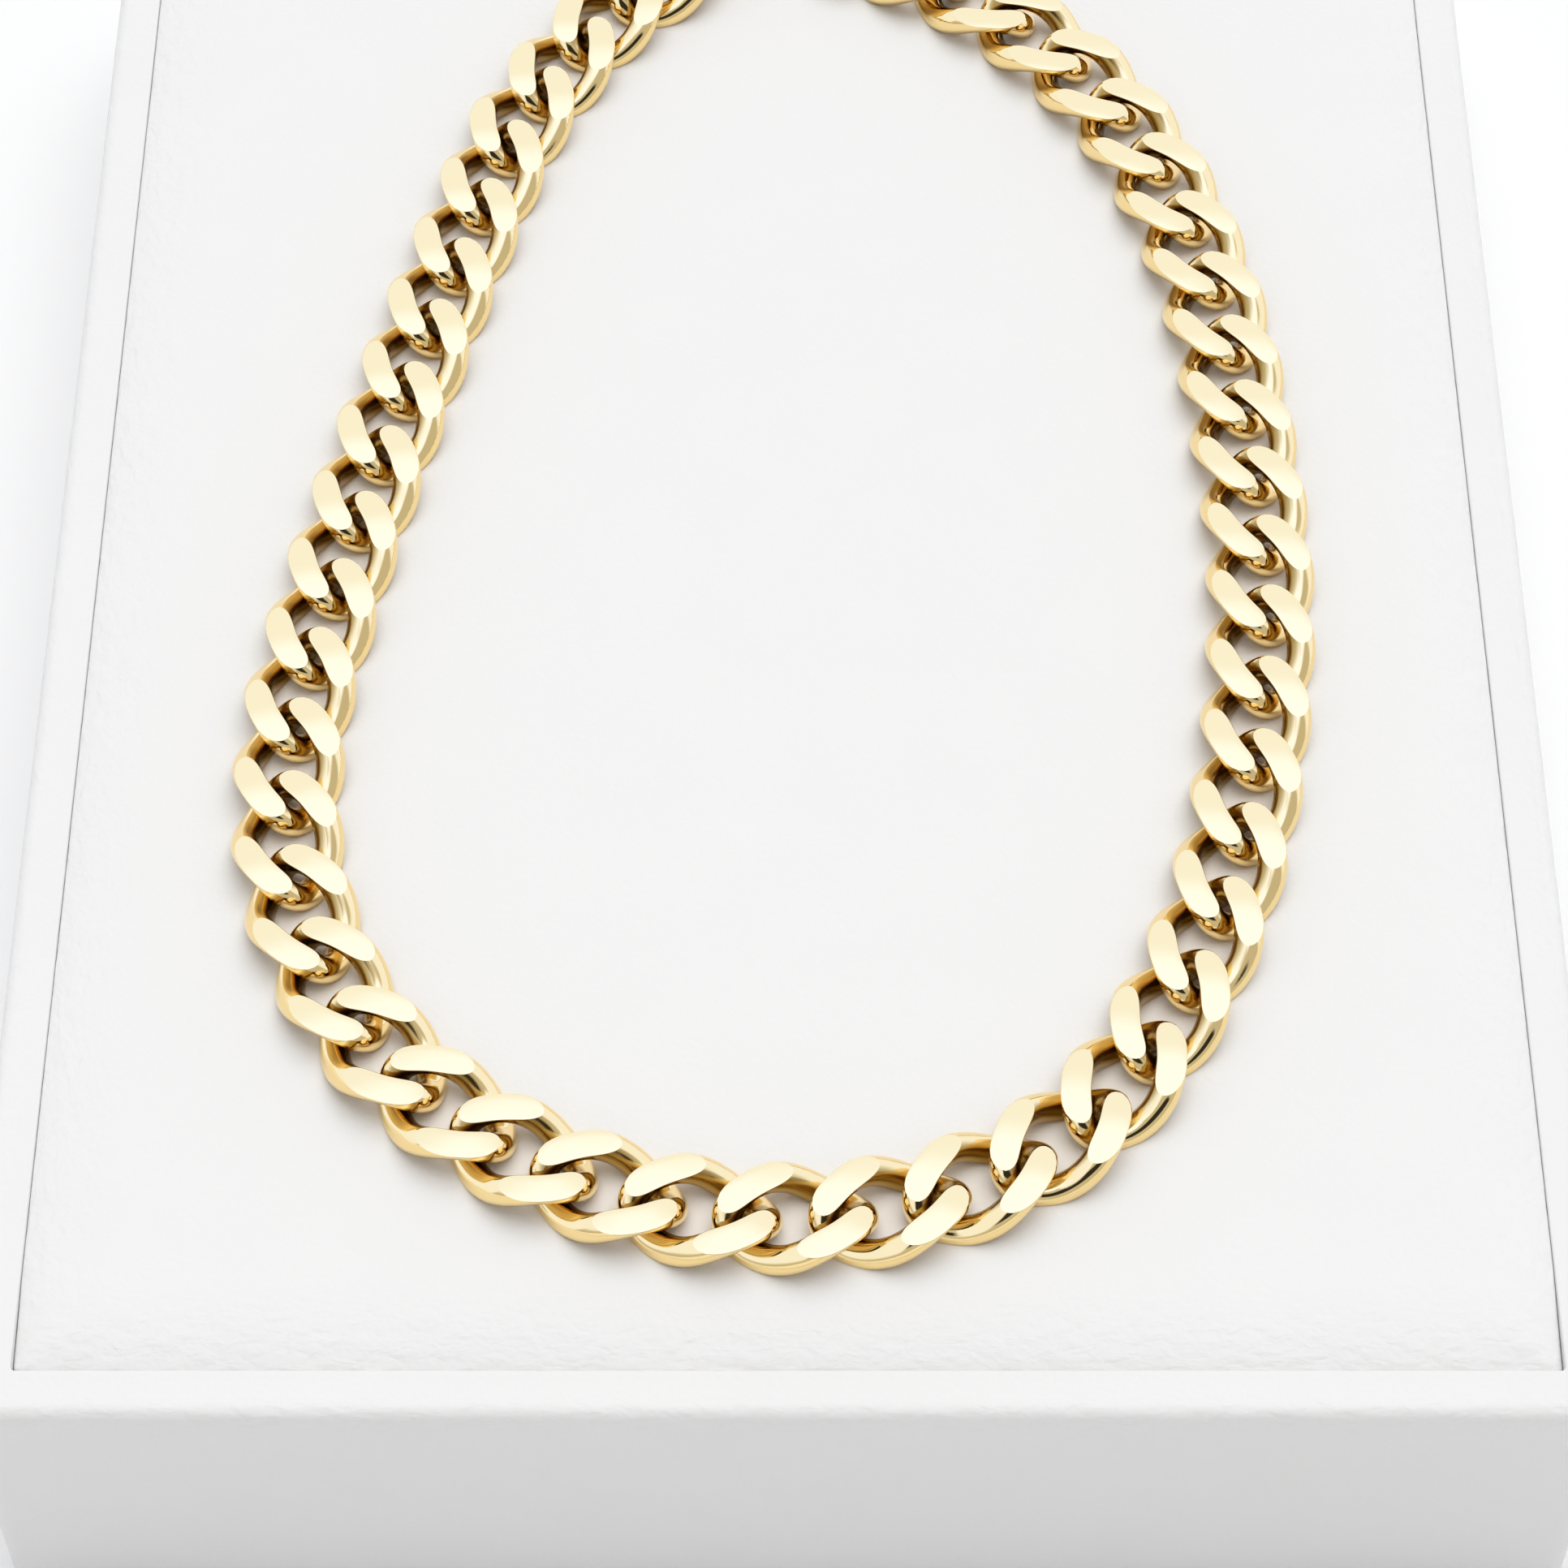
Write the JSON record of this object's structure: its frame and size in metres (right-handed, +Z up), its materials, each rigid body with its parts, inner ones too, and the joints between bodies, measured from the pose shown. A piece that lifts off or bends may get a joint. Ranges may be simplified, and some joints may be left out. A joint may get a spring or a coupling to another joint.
{
  "type": "curb chain necklace on padded display box",
  "caption": "Heavy flat curb chain necklace of twisted and filed links, closed by a plain clasp and laid in an upright loop on a low padded display box.",
  "frame": {"origin": "middle of the display box's underside, on the surface that it stands on", "axes": "+X to the right across the box seen from its front, +Y from the box's front edge, where the loop's round bottom lies, to its back edge, where the clasp lies, +Z up out of the pad"},
  "size_m": [0.1778, 0.2396, 0.047],
  "materials": {
    "chain_gold": "polished gold plate",
    "box_leather": "satin white leatherette",
    "pad_leather": "satin white leatherette over foam"
  },
  "bodies": {
    "root": {"chain": "chain_gold", "clasp": "chain_gold", "display_box": "box_leather", "box_pad": "pad_leather"}
  },
  "joints": []
}
